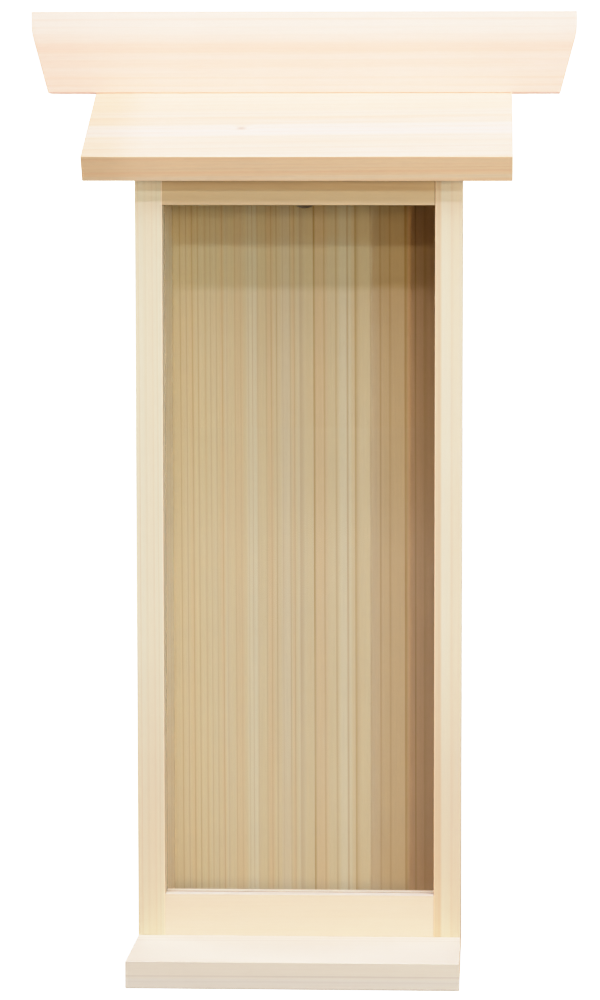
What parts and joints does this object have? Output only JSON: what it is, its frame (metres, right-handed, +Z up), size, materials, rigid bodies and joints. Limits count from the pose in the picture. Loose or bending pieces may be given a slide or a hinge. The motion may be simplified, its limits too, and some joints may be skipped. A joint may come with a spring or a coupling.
{
  "type": "household altar cabinet",
  "caption": "Tall narrow household altar cabinet of pale boards, with a clear front pane, a sloping roof board, a ridge board with slanted ends and a deep base board as shelf.",
  "frame": {"origin": "middle of the whole part's footprint, on the surface that the base board stands on", "axes": "+Z up, the clear pane and the shelf face -Y, the flat back faces +Y, +X is on the right for someone who looks at the front"},
  "size_m": [0.225, 0.095, 0.3891],
  "materials": {
    "base_cypress": "planed, unfinished",
    "side_cypress": "planed, unfinished",
    "back_cypress": "planed, unfinished",
    "rail_cypress": "planed, unfinished",
    "clear_acrylic": "clear, polished",
    "roof_cypress": "planed, unfinished",
    "ridge_cypress": "planed, unfinished",
    "zinc_steel": "zinc plated"
  },
  "bodies": {
    "root": {"base_board": "base_cypress", "side_board_left": "side_cypress", "side_board_right": "side_cypress", "back_board": "back_cypress", "bottom_rail": "rail_cypress", "top_rail": "rail_cypress", "front_pane": "clear_acrylic", "roof_board": "roof_cypress", "ridge_board": "ridge_cypress", "hanging_plate": "zinc_steel", "plate_screw_lower": "zinc_steel", "plate_screw_upper": "zinc_steel"}
  },
  "joints": []
}
